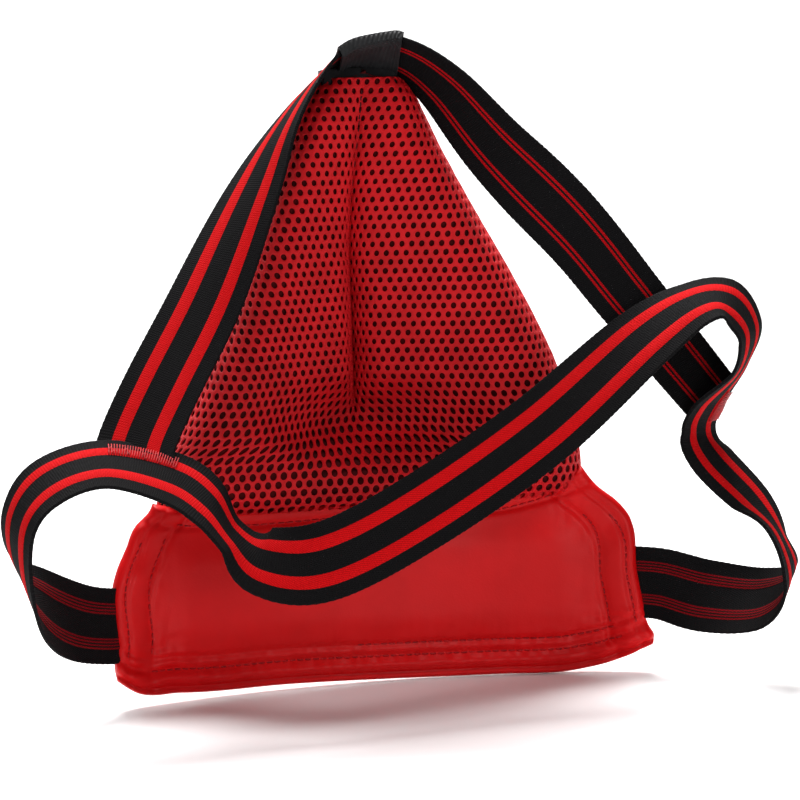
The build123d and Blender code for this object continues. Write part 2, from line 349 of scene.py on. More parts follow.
BLACK_YARN = (0.0065, 0.006, 0.0065, 1)
RED_YARN = (0.60, 0.004, 0.006, 1)
DULL_RED_YARN = (0.20, 0.003, 0.006, 1)
LEG_LINE_YARN = (0.42, 0.003, 0.006, 1)


def band_colors(material, uv, bands):
    """Colour steps across the strap's width."""
    split = add_node(material, "ShaderNodeSeparateXYZ")
    link(material, uv.outputs["UV"], split.inputs["Vector"])
    ramp = add_node(material, "ShaderNodeValToRGB")
    ramp.color_ramp.interpolation = "CONSTANT"
    elements = ramp.color_ramp.elements
    elements[0].position, elements[0].color = bands[0]
    elements[1].position, elements[1].color = bands[1]
    for position, color in bands[2:]:
        elements.new(position).color = color
    link(material, split.outputs["X"], ramp.inputs["Fac"])
    return ramp.outputs["Color"]


def strap_waves(material, uv, across, along, direction):
    """Woven lines: a wave over the strap's coordinates, scaled across and along it."""
    waves = add_node(material, "ShaderNodeTexWave", Scale=1.0, Distortion=0.0, bands_direction=direction)
    stretch = add_node(material, "ShaderNodeVectorMath", operation="MULTIPLY")
    stretch.inputs[1].default_value = (across, along, 1.0)
    link(material, uv.outputs["UV"], stretch.inputs[0])
    link(material, stretch.outputs["Vector"], waves.inputs["Vector"])
    return waves.outputs["Fac"]


def webbing_material(name, bands):
    """Woven elastic: colour bands across the width, twill lines and weft ribs.

    bands is a list of (position across from 0 to 1, colour) steps."""
    material = new_material(name, BLACK_YARN[:3], 0.8, Specular_IOR_Level=0.05)
    uv = add_node(material, "ShaderNodeUVMap", uv_map="strap")
    twill = strap_waves(material, uv, 22.0, 330.0, "DIAGONAL")
    ribs = strap_waves(material, uv, 1.0, 260.0, "Y")
    tint = add_node(material, "ShaderNodeValToRGB")
    tint.color_ramp.elements[0].color = (0.35, 0.35, 0.35, 1)
    tint.color_ramp.elements[1].color = (1, 1, 1, 1)
    link(material, twill, tint.inputs["Fac"])
    darker = add_node(material, "ShaderNodeMix", data_type="RGBA", blend_type="MULTIPLY")
    darker.inputs["Factor"].default_value = 0.55
    link(material, band_colors(material, uv, bands), darker.inputs["A"])
    link(material, tint.outputs["Color"], darker.inputs["B"])
    shader = material.node_tree.nodes["Principled BSDF"]
    link(material, darker.outputs["Result"], shader.inputs["Base Color"])
    add_bump(material, added(material, ribs, twill), 0.00022, 0.7)
    return material


def simple_cloth(name, dark, light, roughness, scale):
    """Tape, thread and plastic: noise in colour and relief."""
    material = new_material(name, light, roughness, Specular_IOR_Level=0.25)
    coords = color_noise(material, dark, light, scale / 8)
    relief = add_node(material, "ShaderNodeTexNoise", Scale=scale, Detail=3.0)
    link(material, coords.outputs["Object"], relief.inputs["Vector"])
    add_bump(material, relief.outputs["Fac"], 0.0002, 0.6)
    return material


OUTER_BANDS = [(0.0, BLACK_YARN), (0.19, RED_YARN), (0.355, BLACK_YARN), (0.645, RED_YARN),
               (0.81, BLACK_YARN)]


def fine_lines(starts, width, color):
    """Bands for the inner face: a few red warp yarns showing through the black."""
    bands = [(0.0, BLACK_YARN)]
    for start in starts:
        bands += [(start, color), (start + width, BLACK_YARN)]
    return bands


BAND_INNER = fine_lines([0.195, 0.235, 0.275, 0.315, 0.655, 0.695, 0.735, 0.775], 0.022, DULL_RED_YARN)
LEG_INNER = fine_lines([0.21, 0.275, 0.68, 0.745], 0.036, LEG_LINE_YARN)

vinyl = vinyl_material()
net_cloth = mesh_material("air_mesh", (0.48, 0.002, 0.005), (0.64, 0.005, 0.010), 0.6, 900.0)
backing_cloth = mesh_material("mesh_backing", (0.045, 0.0006, 0.001), (0.10, 0.001, 0.002), 0.9, 700.0)
web_outer = webbing_material("webbing_outer", OUTER_BANDS)
band_inner = webbing_material("webbing_inner", BAND_INNER)
leg_inner = webbing_material("leg_webbing_inner", LEG_INNER)
red_thread = simple_cloth("red_thread", (0.26, 0.002, 0.004), (0.50, 0.004, 0.008), 0.55, 2500.0)
dark_thread = simple_cloth("dark_thread", (0.02, 0.001, 0.002), (0.07, 0.002, 0.004), 0.6, 2500.0)
black_tape = simple_cloth("black_tape", (0.005, 0.005, 0.006), (0.011, 0.011, 0.012), 0.6, 1800.0)
plastic = simple_cloth("cup_plastic", (0.78, 0.78, 0.76), (0.86, 0.86, 0.84), 0.45, 300.0)


# ------------------------------------------------------------------ waist panel
def panel_front(x):
    """Depth of the panel's body side at x."""
    return np.sqrt(PANEL_RADIUS ** 2 - np.asarray(x) ** 2) - PANEL_RADIUS


PANEL_LEFT = [(0, -0.1435), (0.06, -0.1445), (0.22, -0.1436), (0.57, -0.1436), (0.64, -0.1415),
              (0.755, -0.1365), (0.885, -0.1305), (0.95, -0.1240), (1, -0.1215)]
PANEL_RIGHT = [(0, 0.1382), (0.06, 0.1392), (0.1, 0.1370), (0.26, 0.1340), (0.42, 0.1315), (0.67, 0.1298),
               (0.71, 0.1285), (0.8, 0.1222), (0.886, 0.1125), (1, 0.1045)]
PANEL_BOTTOM = [(0, 0.0150), (0.03, 0.0085), (0.12, 0.0045), (0.33, 0.0025), (0.56, 0.0006),
                (0.72, 0.0002), (0.86, 0.0010), (0.935, 0.0060), (1, 0.0145)]
PANEL_TOP_EDGE = [(0, 0.103), (0.06, 0.099), (0.16, 0.0965), (0.5, 0.0965), (0.84, 0.0975),
                  (0.94, 0.104), (1, 0.110)]
PANEL_THICK = 0.0085
PANEL_SWELL = 0.0022  # rise of the foam between the seams
SIDE_STITCH = 0.019  # from the panel's ends
HEM_STITCH = 0.0065  # from the panel's ends, the outer row
EDGE_STITCH = 0.013  # above the lower edge
SECOND_EDGE_STITCH = 0.0195  # above the lower edge
TOP_STITCH = 0.008  # below the upper edge
# Sewn grooves and rolls along each edge: (distance from it, half width, height)
END_SEAMS = [(SIDE_STITCH, 0.0022, -0.0014), (0.007, 0.0014, -0.0010)]
LOW_SEAMS = [(EDGE_STITCH, 0.0018, -0.0013), (SECOND_EDGE_STITCH, 0.0016, -0.0010),
             (0.0085, 0.0035, 0.0020), (0.0042, 0.0010, -0.0016), (0.0018, 0.0016, 0.0012)]
HIGH_SEAMS = [(TOP_STITCH, 0.0016, -0.0012), (0.0018, 0.0015, 0.0008)]


def panel_place(u, v):
    """x and z of a place on the panel: u runs left to right and v upwards, 0 to 1."""
    x = curve(PANEL_LEFT, v) * (1 - u) + curve(PANEL_RIGHT, v) * u
    z = curve(PANEL_BOTTOM, u) * (1 - v) + curve(PANEL_TOP_EDGE, u) * v
    return x, z


def groove(distance, width):
    """Depth factor of a sewn groove, 1 on the seam."""
    return np.exp(-(distance / width) ** 2)


def seam_relief(distance, seams):
    """Sum of the grooves and rolls at a distance from the edge they follow."""
    return sum(height * groove(distance - place, width) for place, width, height in seams)


def panel_lift(u, v, x, z):
    """How far the body side stands proud of the plain arc."""
    left, right = curve(PANEL_LEFT, v), curve(PANEL_RIGHT, v)
    bottom, top = curve(PANEL_BOTTOM, u), curve(PANEL_TOP_EDGE, u)
    end = np.minimum(x - left, right - x)
    low, high = z - bottom, top - z
    inside = smoothstep(SIDE_STITCH, SIDE_STITCH + 0.022, end) * smoothstep(EDGE_STITCH, 0.036, low)
    inside = inside * smoothstep(TOP_STITCH, 0.028, high)
    band_end = smoothstep(0.012, 0.026, z) * (1 - smoothstep(0.066, 0.080, z))
    hem = (0.0012 + 0.0016 * band_end) * groove(end - 0.009, 0.008)
    return (PANEL_SWELL * inside + hem + seam_relief(end, END_SEAMS) + seam_relief(low, LOW_SEAMS)
            + seam_relief(high, HIGH_SEAMS))


def cloud(places, seed):
    """Smooth noise at each (first, second) place."""
    flat = np.stack([np.ravel(p) for p in places], 1)
    values = [noise.noise(Vector((first, seed, second))) for first, second in flat]
    return np.array(values).reshape(np.shape(places[0]))


def panel_ripple(x, z, low, end):
    """Puckers along the sewn rows and slow waves over the middle."""
    x, z = np.asarray(x, float), np.asarray(z, float)
    near_edge = groove(low - EDGE_STITCH, 0.014) + 0.7 * groove(end - SIDE_STITCH, 0.010)
    fine = 0.8 * cloud((x * 260, z * 60), 3.1) + 0.9 * cloud((x * 120 + 9, z * 150), 1.7)
    slow = cloud((x * 22, z * 34), 8.3)
    corner = groove(x - 0.118, 0.030) + 0.8 * groove(x + 0.126, 0.020)
    crumple = cloud((x * 95, z * 230), 5.5) * corner * groove(low - 0.014, 0.018)
    return 0.0006 * near_edge * fine + 0.0005 * slow * smoothstep(0.02, 0.05, low) + 0.0018 * crumple


def panel_grid(columns, rows):
    """The panel's body side and outer side as grids of points."""
    u, v = np.meshgrid(np.linspace(0, 1, columns), np.linspace(0, 1, rows))
    x, z = panel_place(u, v)
    low = z - curve(PANEL_BOTTOM, u)
    end = np.minimum(x - curve(PANEL_LEFT, v), curve(PANEL_RIGHT, v) - x)
    high = curve(PANEL_TOP_EDGE, u) - z
    lift = panel_lift(u, v, x, z) + panel_ripple(x, z, low, end)
    edge = np.clip(np.minimum(np.minimum(end, low), high) / 0.004, 0, 1)
    taper = np.sqrt(1 - (1 - edge) ** 2)
    middle = PANEL_THICK / 2 - 0.0005
    front = panel_front(x) + middle - (middle + lift) * taper
    rear = panel_front(x) + middle + (PANEL_THICK - middle + 0.4 * lift) * taper
    return [np.stack([x, y, z], 2).reshape(-1, 3) for y in (front, rear)]


def make_panel():
    """The sewn panel: both skins with their folded edges, filled with foam."""
    columns, rows = 281, 97
    front, rear = panel_grid(columns, rows)
    faces = grid_faces(rows, columns) + grid_faces(rows, columns, len(front), flip=True)
    obj = new_mesh("waist_panel", np.vstack([front, rear]), faces, vinyl)
    recalculate(obj)
    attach(obj, "waist")
    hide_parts("panel_inner_skin", "panel_foam", "panel_outer_skin", "waist_edge_roll",
                "side_hem_left", "side_hem_right")


def panel_surface(x, z):
    """Point on the panel's body side, found from x and z."""
    u, v = 0.5, 0.5
    for _ in range(12):
        left, right = curve(PANEL_LEFT, v), curve(PANEL_RIGHT, v)
        u = min(max((x - left) / (right - left), 0), 1)
        bottom, top = curve(PANEL_BOTTOM, u), curve(PANEL_TOP_EDGE, u)
        v = min(max((z - bottom) / (top - bottom), 0), 1)
    lift = panel_lift(u, v, x, z)
    end = min(x - curve(PANEL_LEFT, v), curve(PANEL_RIGHT, v) - x)
    lift += float(panel_ripple([x], [z], z - curve(PANEL_BOTTOM, u), end)[0])
    return np.array([x, float(panel_front(x) - lift), z])


# ------------------------------------------------------------------ stitches
STITCH_SHARE = 0.68  # of the pitch
STITCH_SINK = 0.00015  # of a stitch's ends into the cloth


def stitch_row(points, outward, pitch=0.0042, radius=0.00042):
    """Separate slightly domed stitches along a line of points."""
    points = np.array(points, float)
    lengths = np.concatenate([[0], np.cumsum(np.linalg.norm(np.diff(points, axis=0), axis=1))])
    parts = []

    def at(s):
        return np.array([np.interp(s, lengths, points[:, k]) for k in range(3)])

    length = pitch * STITCH_SHARE
    start = pitch * 0.3
    while start + length < lengths[-1]:
        path = []
        for f in np.linspace(0, 1, 6):
            dome = math.sin(math.pi * f) ** 0.5 if 0 < f < 1 else 0.0
            path.append(at(start + f * length) + np.array(outward) * (dome * radius * 1.4 - STITCH_SINK))
        parts.append(tube(path, radius, 6))
        start += pitch
    return parts


def make_stitches(name, parts, body, nodes, material):
    """One piece from all the stitches of a seam."""
    obj = new_mesh(name, *join_parts(parts), material)
    recalculate(obj)
    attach(obj, body)
    if nodes:
        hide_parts(*nodes)


def panel_line(from_u, to_u, from_v, to_v, count, low=None, high=None, inset=None, side=0):
    """Points on the panel along a sewn line, at fixed distances from its edges."""
    points = []
    for f in np.linspace(0, 1, count):
        u, v = from_u + (to_u - from_u) * f, from_v + (to_v - from_v) * f
        x, z = panel_place(u, v)
        if low is not None:
            z = curve(PANEL_BOTTOM, u) + low
        if high is not None:
            z = curve(PANEL_TOP_EDGE, u) - high
        if inset is not None:
            x = curve(PANEL_LEFT, v) + inset if side < 0 else curve(PANEL_RIGHT, v) - inset
        points.append(panel_surface(float(x), float(z)))
    return points


def make_panel_stitches():
    """The rows below the upper edge, above the lower edge and along both ends."""
    outward = (0, -1, 0)
    upper = stitch_row(panel_line(0.05, 0.95, 1, 1, 120, high=TOP_STITCH), outward, pitch=0.0046)
    make_stitches("panel_top_stitches", upper, "waist", ["panel_top_stitch"], red_thread)
    lower = stitch_row(panel_line(0.06, 0.95, 0, 0, 160, low=EDGE_STITCH), outward)
    lower += stitch_row(panel_line(0.45, 0.93, 0, 0, 100, low=SECOND_EDGE_STITCH), outward)
    make_stitches("waist_edge_stitches", lower, "waist", ["waist_edge_stitch"], red_thread)
    for side, name in ((-1, "left"), (1, "right")):
        rows = []
        for inset in (SIDE_STITCH, HEM_STITCH):
            line = panel_line(0, 0, 0.13, 0.8, 60, inset=inset, side=side)
            rows += stitch_row(line, outward, pitch=0.0038)
        make_stitches(f"side_stitches_{name}", rows, "waist", [f"side_stitch_{name}"], red_thread)


# ------------------------------------------------------------------ cup lining
CUP_LOW = 0.0935
CUP_TOP = 0.3180
EDGE_RIGHT = [(0.0935, 0.104), (0.108, 0.1065), (0.122, 0.1055), (0.140, 0.1015), (0.162, 0.095),
              (0.183, 0.086), (0.214, 0.070), (0.248, 0.051), (0.2816, 0.0335), (0.297, 0.0265),
              (0.307, 0.0215), (0.313, 0.0165), (0.3165, 0.0085), (0.3180, -0.003)]
EDGE_LEFT = [(0.0935, 0.117), (0.105, 0.116), (0.129, 0.1075), (0.150, 0.0975), (0.177, 0.0850),
             (0.200, 0.0745), (0.225, 0.0655), (0.2585, 0.0545), (0.283, 0.046), (0.297, 0.0405),
             (0.307, 0.0335), (0.313, 0.026), (0.3165, 0.0165), (0.3180, 0.006)]
DART = [(0.0935, -0.008), (0.150, -0.008), (0.186, -0.0095), (0.227, -0.0115), (0.252, -0.011),
        (0.278, -0.009), (0.318, -0.0055)]
VALLEY_DEPTH = [(0.0935, 0), (0.110, 0), (0.117, 0.006), (0.124, 0.021), (0.132, 0.041),
                (0.144, 0.053), (0.165, 0.052), (0.195, 0.045), (0.225, 0.037), (0.255, 0.028),
                (0.280, 0.019), (0.300, 0.011), (0.318, 0.003)]
VALLEY_WIDTH = [(0.0935, 0.024), (0.106, 0.028), (0.114, 0.038), (0.122, 0.050), (0.132, 0.062),
                (0.146, 0.068), (0.165, 0.064), (0.195, 0.056), (0.225, 0.047), (0.255, 0.037),
                (0.280, 0.028), (0.300, 0.020), (0.318, 0.012)]
CREST = [(0.0935, 0.023), (0.25, 0.024), (0.29, 0.021), (0.318, 0.013)]
BACK_Y = 0.001  # where the lining's side wall meets the outer cover
PAD_REAR = 0.0335  # the padding's flat rear side
PAD_REAR_SCALE = 0.62  # of its outline
PAD_SUNK = 0.0019  # the padding's front behind the net
PITCH = 0.0053  # of the net's cells along a row
ROW = 0.0046  # height of a row of cells
NET_THICK = 0.0010
NET_REACH = 0.17  # longest half row of cells


def cup_width(z, side):
    """Distance of the outline from the dart at one height."""
    if side < 0:
        return curve(EDGE_LEFT, z) + curve(DART, z)
    return curve(EDGE_RIGHT, z) - curve(DART, z)


def lining_height(x, z, side):
    """How far the lining stands towards the body at |x| from the dart."""
    width = max(float(cup_width(z, side)), 1e-5)
    roll = min(0.024, 0.62 * width)
    e = np.clip((width - x) / roll, 0, 1)
    side_roll = np.sqrt(np.clip(1 - (1 - e) ** 2, 0, 1))
    b = np.clip((z - CUP_LOW) / 0.020, 0, 1)
    low_roll = 0.30 + 0.70 * np.sqrt(np.clip(1 - (1 - b) ** 2, 0, 1))
    body = -BACK_Y - 0.002 + (curve(CREST, z) + 0.003) * side_roll * low_roll
    r = np.clip(x / curve(VALLEY_WIDTH, z), 0, 1)
    slit = np.exp(-x / 0.0040)
    crease = 0.62 * (1 - r) ** 1.2 * (1 + 0.55 * r) + 0.38 * slit
    hollow = (1 - r ** 2) ** 2
    sharp = smoothstep(0.126, 0.165, z)
    return body - curve(VALLEY_DEPTH, z) * (crease * sharp + hollow * (1 - sharp))


def section_table():
    """For each side and height: arc length, x and y across the lining from dart to side wall."""
    heights = np.linspace(CUP_LOW, CUP_TOP, 226)
    tables = {}
    for side in (-1, 1):
        rows = []
        for z in heights:
            width = float(cup_width(z, side))
            x = width * (1 - (1 - np.linspace(0, 1, 150)) ** 1.7)
            y = -lining_height(x, float(z), side)
            wall = np.linspace(float(y[-1]), max(BACK_Y, float(y[-1]) + 1e-5), 8)[1:]
            x = np.concatenate([x, np.full(7, width)])
            y = np.concatenate([y, wall])
            s = np.concatenate([[0], np.cumsum(np.hypot(np.diff(x), np.diff(y)))])
            rows.append((s, x, y))
        tables[side] = rows
    return heights, tables


HEIGHTS, SECTIONS = section_table()


def half_length(z, side):
    """Length of cloth from the dart to the side wall's rear at one height."""
    i = int(np.clip(round((z - CUP_LOW) / (CUP_TOP - CUP_LOW) * (len(HEIGHTS) - 1)), 0, len(HEIGHTS) - 1))
    return SECTIONS[side][i][0][-1]


def lining_point(s, z):
    """Point on the lining: s is the length of cloth from the dart, negative to the left."""
    side = -1 if s < 0 else 1
    z = min(max(z, CUP_LOW), CUP_TOP)
    place = (z - CUP_LOW) / (CUP_TOP - CUP_LOW) * (len(HEIGHTS) - 1)
    i = min(int(place), len(HEIGHTS) - 2)
    f = place - i
    found = []
    for row in (SECTIONS[side][i], SECTIONS[side][i + 1]):
        found.append((np.interp(abs(s), row[0], row[1]), np.interp(abs(s), row[0], row[2])))
    x = found[0][0] * (1 - f) + found[1][0] * f
    y = found[0][1] * (1 - f) + found[1][1] * f
    return (side * x + float(curve(DART, z)), y, z)


def net_vertex(line, m, rows):
    """Corner of the cells on one line between rows, m half cells from the dart."""
    zigzag = 0.00075 * (1 if (m + line) % 2 else -1)
    z = CUP_LOW + line * ROW + (zigzag if 0 < line < rows else 0)
    limit = half_length(z, -1 if m < 0 else 1)
    return lining_point(min(max(m * PITCH / 2, -limit), limit), z)


def opening(centre_s, middle_z):
    """Six points round a cell's opening, narrower in the valley and taller near the rim."""
    near_rim = 1 - float(smoothstep(0.11, 0.17, middle_z))
    in_valley = max(0.0, 1 - abs(centre_s) / 0.085) * (1 - near_rim)
    share = (0.62 + 0.06 * near_rim - 0.11 * in_valley) * (1 + 0.10 * (rng.random() - 0.5))
    points = []
    for turn in (210, 270, 330, 30, 90, 150):
        a = math.radians(turn)
        s = centre_s + 0.5 * PITCH * share * 1.10 * math.cos(a)
        z = middle_z + 0.5 * ROW * (share + 0.06 * near_rim) * 1.42 * math.sin(a)
        points.append(lining_point(s, z))
    return points


def make_net():
    """The mesh's face: staggered hexagonal cells, each with a round opening."""
    rows = int((CUP_TOP - CUP_LOW) / ROW)
    reach = int(NET_REACH / PITCH)
    vertices, faces, index = [], [], {}

    def corner(line, m):
        if (line, m) not in index:
            index[line, m] = len(vertices)
            vertices.append(net_vertex(line, m, rows))
        return index[line, m]

    for row in range(rows):
        middle_z = CUP_LOW + (row + 0.5) * ROW
        for column in range(-reach, reach + 1):
            m = 2 * column + row % 2
            centre_s = m * PITCH / 2
            if abs(centre_s) > half_length(middle_z, -1 if centre_s < 0 else 1) - PITCH * 0.35:
                continue
            ring = [corner(row, m - 1), corner(row, m), corner(row, m + 1),
                    corner(row + 1, m + 1), corner(row + 1, m), corner(row + 1, m - 1)]
            base = len(vertices)
            vertices.extend(opening(centre_s, middle_z))
            for k in range(6):
                j = (k + 1) % 6
                faces.append((ring[k], ring[j], base + j, base + k))
    obj = new_mesh("mesh_lining_net", vertices, faces, net_cloth)
    clean = bmesh.new()
    clean.from_mesh(obj.data)
    bmesh.ops.dissolve_degenerate(clean, dist=1e-6, edges=clean.edges)
    clean.to_mesh(obj.data)
    clean.free()
    thicken(obj, NET_THICK, offset=0.0)
    subdivide(obj)
    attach(obj, "cup")
    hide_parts("mesh_lining_left", "mesh_lining_right")


def make_pad():
    """The padding under the mesh: a closed crowned pad in its dark backing cloth."""
    rows, columns = 150, 241
    front = []
    for z in np.linspace(CUP_LOW, CUP_TOP, rows):
        left, right = half_length(z, -1), half_length(z, 1)
        for f in np.linspace(-1, 1, columns):
            front.append(lining_point(f * (left if f < 0 else right), z))
    front = np.array(front)
    grid = front.reshape(rows, columns, 3)
    across = np.gradient(grid, axis=1)
    upward = np.gradient(grid, axis=0)
    normal = np.cross(upward, across)
    normal = normal / np.maximum(np.linalg.norm(normal, axis=2, keepdims=True), 1e-9)
    sunk = (grid + normal * PAD_SUNK).reshape(-1, 3)
    rear = front.copy()
    rear[:, 1] = PAD_REAR
    rear[:, 0] *= PAD_REAR_SCALE
    rear[:, 2] = DOME_CENTRE + (rear[:, 2] - DOME_CENTRE) * PAD_REAR_SCALE
    faces = grid_faces(rows, columns) + grid_faces(rows, columns, len(front), flip=True)
    faces += border_walls(rows, columns)
    obj = new_mesh("cup_padding", list(sunk) + list(rear), faces, backing_cloth)
    recalculate(obj)
    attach(obj, "cup")
    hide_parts("rim_padding", "lining_foam", "outer_foam")


def make_dart():
    """Thread of the dart: short stitches at the apex, then the sunk seam line."""
    path = [np.array(lining_point(0.0, z)) + np.array([0, -0.0008, 0])
            for z in np.linspace(0.309, 0.285, 30)]
    parts = stitch_row(path, (0, -1, 0), pitch=0.0032, radius=0.0004)
    seam = [np.array(lining_point(0.0, z)) + np.array([0, -0.0004, 0])
            for z in np.linspace(0.286, 0.150, 60)]
    parts.append(tube(seam, 0.0006, 6))
    make_stitches("dart_stitches", parts, "cup", ["dart_stitch"], dark_thread)


# ------------------------------------------------------------------ outer cover
DOME = [(-0.0015, 1.004), (0.0, 1.010), (0.002, 1.010), (0.004, 1.004), (0.008, 0.992), (0.0145, 0.972),
        (0.021, 0.935), (0.027, 0.880), (0.0317, 0.805), (0.0354, 0.715), (0.0378, 0.600),
        (0.0392, 0.440), (0.0397, 0.240), (0.0399, 0.02)]
DOME_CENTRE = 0.165  # height the dome's sections shrink towards
DOME_TOP = 0.3075  # the cover stays below the apex tab
LIP_TOP = 0.3135  # of the cover's front lip
CUP_CENTRE = -0.006  # the cup's middle plane, where the cover's halves meet
COVER_THICK = 0.0012
PIPING_RADIUS = 0.0013
TOPSTITCH_OFFSET = 0.0045  # each side of the centre seam
SHELL_LOW = 0.1050  # the hard cup stops above the panel
SHELL_INSET = 0.065  # of the dome's scale
SHELL_THICK = 0.0025


def outline(count):
    """Points round the cup's outline, from the middle of its low edge up one side and down the other."""
    heights = CUP_LOW + (CUP_TOP - 0.006 - CUP_LOW) * (1 - (1 - np.linspace(0, 1, count)) ** 1.3)
    right = [(float(curve(EDGE_RIGHT, z)) - CUP_CENTRE, float(z)) for z in heights]
    left = [(-float(curve(EDGE_LEFT, z)) - CUP_CENTRE, float(z)) for z in heights]
    low_right = [(right[0][0] * f, CUP_LOW) for f in np.linspace(0, 1, 24, endpoint=False)]
    low_left = [(left[0][0] * f, CUP_LOW) for f in np.linspace(0, 1, 24, endpoint=False)]
    top = [(right[-1][0] * f, right[-1][1] + 0.004 * (1 - f * f)) for f in np.linspace(0.8, 0, 4)]
    top_left = [(left[-1][0] * f, left[-1][1] + 0.004 * (1 - f * f)) for f in np.linspace(0.25, 0.8, 3)]
    return low_right + right + top + top_left + left[::-1] + low_left[:0:-1]


def dome_sections(count):
    """Depth and outline scale at evenly spaced places over the dome."""
    places = np.linspace(0, len(DOME) - 1, count)
    depths = [float(curve([(i, d[0]) for i, d in enumerate(DOME)], t)) for t in places]
    scales = [float(curve([(i, d[1]) for i, d in enumerate(DOME)], t)) for t in places]
    return depths, scales


def cover_ring(y, scale, ring):
    """x and z round one section of the dome at depth y."""
    top = DOME_TOP if y > -0.0005 else LIP_TOP
    return [(x * scale, min(DOME_CENTRE + (z - DOME_CENTRE) * scale, top)) for x, z in ring]


def dome_faces(sections, columns):
    """Faces between wrapped sections, closed over the last one."""
    last = (sections - 1) * columns
    return grid_faces(sections, columns, wrap=True) + [tuple(range(last, last + columns))]


def cover_vertices(ring):
    """The cover's outer side with its sunk centre seam, puckers and wavy lip."""
    vertices = []
    for y, scale in zip(*dome_sections(60)):
        for x, z in cover_ring(y, scale, ring):
            seam = groove(x, 0.0022)
            pucker = 0.0005 * noise.noise(Vector((x * 60, y * 60, z * 120))) * (1 + 2 * groove(x, 0.012))
            lip = 0.0007 * noise.noise(Vector((x * 200, 4.0, z * 200))) * groove(y - 0.003, 0.006)
            out = smoothstep(0.004, 0.02, y)
            vertices.append((x + CUP_CENTRE, y + out * (pucker - 0.0012 * seam), z + lip))
    return vertices


def cut_half(whole, side, name):
    """One sewn half of the cover, cut off at the cup's middle plane."""
    half = whole.copy()
    half.data = whole.data.copy()
    half.name = f"outer_cover_half_{name}"
    bpy.context.scene.collection.objects.link(half)
    cut = bmesh.new()
    cut.from_mesh(half.data)
    geometry = cut.verts[:] + cut.edges[:] + cut.faces[:]
    bmesh.ops.bisect_plane(cut, geom=geometry, plane_co=(CUP_CENTRE, 0, 0), plane_no=(-side, 0, 0),
                           clear_outer=True)
    cut.to_mesh(half.data)
    cut.free()
    thicken(half, COVER_THICK)
    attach(half, "cup")
    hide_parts(f"outer_cover_{name}")


def centre_path():
    """Line of the centre seam from the low edge over the dome to the apex."""
    lower, upper = [], []
    for y, scale in zip(*dome_sections(90)):
        lower.append((CUP_CENTRE, y, DOME_CENTRE + (CUP_LOW - DOME_CENTRE) * scale))
        upper.append((CUP_CENTRE, y, min(DOME_CENTRE + (0.3115 - DOME_CENTRE) * scale, DOME_TOP)))
    path = np.array(lower[4:] + upper[::-1][:-4])
    path[:, 1] += 0.0004
    return path


def make_cover():
    """Two sewn vinyl halves, the piping between them and a stitch row on each side of it."""
    ring = outline(70)
    whole = new_mesh("cover_whole", cover_vertices(ring), dome_faces(60, len(ring)), vinyl)
    recalculate(whole)
    for side, name in ((-1, "left"), (1, "right")):
        cut_half(whole, side, name)
    bpy.data.objects.remove(whole)
    path = centre_path()
    seam = new_mesh("outer_cover_piping", *tube(path, PIPING_RADIUS, 10), vinyl)
    recalculate(seam)
    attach(seam, "cup")
    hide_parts("outer_cover_seam")
    parts = []
    for offset in (-TOPSTITCH_OFFSET, TOPSTITCH_OFFSET):
        parts += stitch_row(path + np.array([offset, 0.0002, 0]), (0, 1, 0), pitch=0.0045)
    make_stitches("cover_topstitches", parts, "cup", [], red_thread)


def make_shell():
    """The hard cup inside the padding, a smooth inset copy of the dome."""
    ring = outline(50)
    vertices = []
    for y, scale in zip(*dome_sections(30)):
        depth = max(y, 0.0025) - 0.0045 * min(1, y / 0.02)
        for x, z in cover_ring(y, scale - SHELL_INSET, ring):
            vertices.append((x + CUP_CENTRE, depth, max(z, SHELL_LOW)))
    obj = new_mesh("cup_shell_moulding", vertices, dome_faces(30, len(ring)), plastic)
    recalculate(obj)
    thicken(obj, SHELL_THICK)
    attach(obj, "cup")
    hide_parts("cup_shell")


# ------------------------------------------------------------------ webbing
def strap_frames(stations, spacing):
    """Arc lengths, centres, along, across and outward directions of a strap, in metres."""
    rows = [list(np.array(centre) * MM) + list(unit(np.array(width, float))) for centre, width in stations]
    s, samples = catmull(rows, spacing)
    centres = samples[:, :3]
    along = unit(np.gradient(centres, axis=0))
    across = samples[:, 3:]
    across = unit(across - (across * along).sum(1)[:, None] * along)
    outward = np.cross(along, across)
    return s, centres, along, across, outward


def strap_section(s_value):
    """Half profile of the webbing: positions across and relief of its woven bands."""
    across = np.array([-1.0, -0.985, -0.95, -0.9, -0.64, -0.62, -0.60, -0.45, -0.31, -0.29, -0.27, -0.12,
                       0.0, 0.12, 0.27, 0.29, 0.31, 0.45, 0.60, 0.62, 0.64, 0.9, 0.95, 0.985, 1.0])
    relief = np.zeros_like(across)
    relief[(abs(across) > 0.30) & (abs(across) < 0.61)] = 0.00016
    relief[abs(across) > 0.94] = 0.00012
    relief[abs(across) > 0.99] = -0.0004
    picot = 1 + 0.006 * math.sin(2 * math.pi * s_value / 0.0032)
    return across * picot, relief


